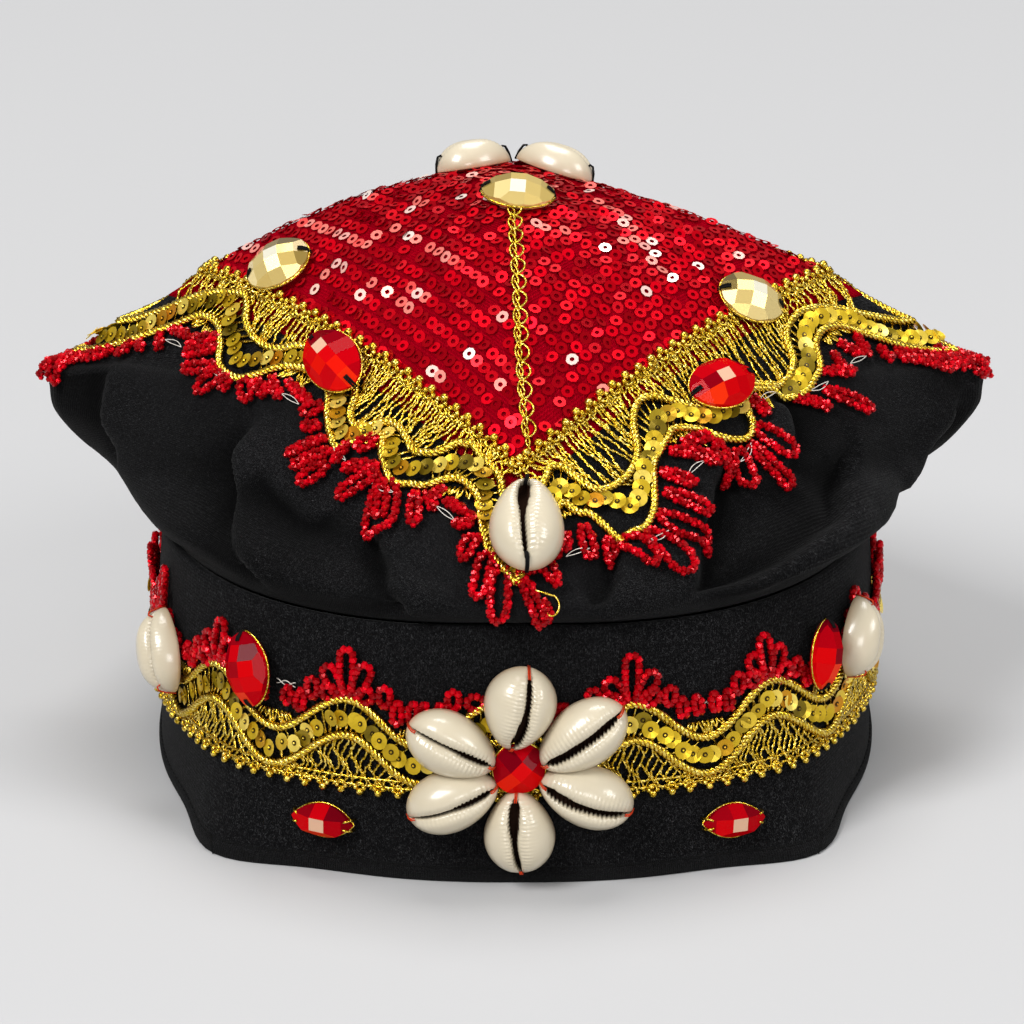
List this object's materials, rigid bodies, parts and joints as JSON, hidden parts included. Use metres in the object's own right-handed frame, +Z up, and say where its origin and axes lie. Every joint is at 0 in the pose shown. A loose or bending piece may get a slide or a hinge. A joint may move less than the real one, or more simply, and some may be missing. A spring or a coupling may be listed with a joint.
{
  "type": "decorated folk dress cap",
  "caption": "Soft four-cornered black cap with a red sequinned top, gold lace, red bead fringes, cowrie shells and cut stones, standing on its hem.",
  "frame": {"origin": "middle of the whole cap's footprint, at the level of the hem", "axes": "+Z up out of the crown, -Y towards the front with the flower of shells, +X towards the right-hand corner of the crown in the picture"},
  "size_m": [0.2329, 0.2241, 0.1464],
  "materials": {
    "black_cloth": "matt woven cloth",
    "red_cloth": "sequinned net over red cloth",
    "gold_lace": "shiny metallic thread and sequins",
    "red_beads": "polished seed beads",
    "cowrie": "glossy shell",
    "red_stone": "polished and faceted",
    "gold_stone": "polished and faceted, foil backed"
  },
  "bodies": {
    "root": {"band": "black_cloth", "band_fringe": "red_beads", "band_lace": "gold_lace", "crown_fringe_back_left": "red_beads", "crown_fringe_back_right": "red_beads", "crown_fringe_front_left": "red_beads", "crown_fringe_front_right": "red_beads", "crown_lace_back_left": "gold_lace", "crown_lace_back_right": "gold_lace", "crown_lace_front_left": "gold_lace", "crown_lace_front_right": "gold_lace", "crown_side": "black_cloth", "crown_top": "red_cloth", "flower_shell_1": "cowrie", "flower_shell_2": "cowrie", "flower_shell_3": "cowrie", "flower_shell_4": "cowrie", "flower_shell_5": "cowrie", "flower_shell_6": "cowrie", "flower_stone": "red_stone", "front_corner_shell": "cowrie", "left_band_stone": "red_stone", "left_gold_stone": "gold_stone", "left_hem_stone": "red_stone", "left_lace_stone": "red_stone", "left_side_shell": "cowrie", "right_band_stone": "red_stone", "right_gold_stone": "gold_stone", "right_hem_stone": "red_stone", "right_lace_stone": "red_stone", "right_side_shell": "cowrie", "seam_braid": "gold_lace", "top_left_shell": "cowrie", "top_right_shell": "cowrie", "top_stone": "gold_stone"}
  },
  "joints": []
}
